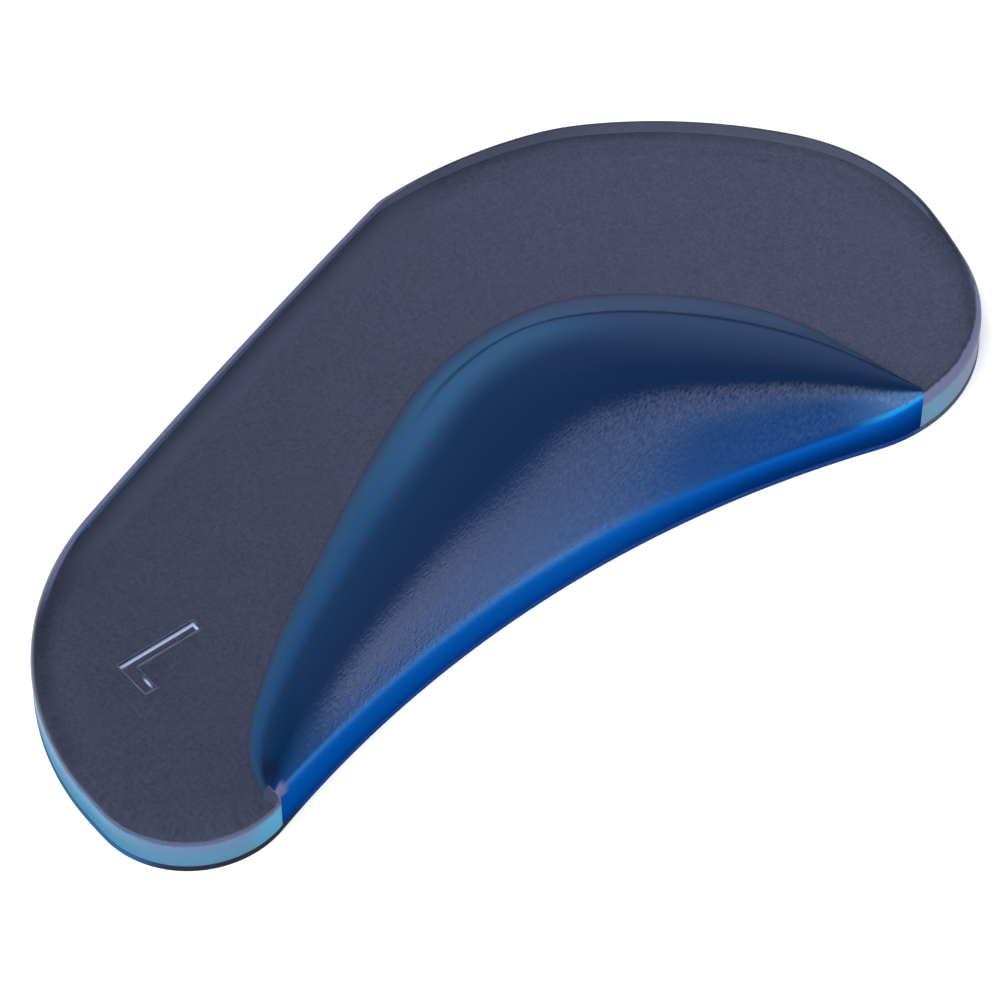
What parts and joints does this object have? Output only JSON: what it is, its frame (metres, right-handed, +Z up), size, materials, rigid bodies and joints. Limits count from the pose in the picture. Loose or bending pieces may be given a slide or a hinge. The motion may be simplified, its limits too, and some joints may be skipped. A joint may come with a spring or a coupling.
{
  "type": "arch support insole",
  "caption": "Left-foot arch support insole: a clear gel plate on a thin dark cloth base, with a raised solid blue gel dome at the inner edge to carry the arch.",
  "frame": {"origin": "on the ground under the middle of the insole's plan box", "axes": "+Y towards the toes along the insole's length, +X towards the inner (medial) side of the foot, +Z up out of the gel side"},
  "size_m": [0.0642, 0.127, 0.0122],
  "materials": {
    "cloth": "fine dark knit, matt",
    "clear_gel": "clear soft gel with a faint blue tint, smooth",
    "blue_gel": "translucent blue soft gel, satin on top and glossy on the wall"
  },
  "bodies": {
    "root": {"fabric_base": "cloth", "gel_pad": "clear_gel", "arch_cushion": "blue_gel"}
  },
  "joints": []
}
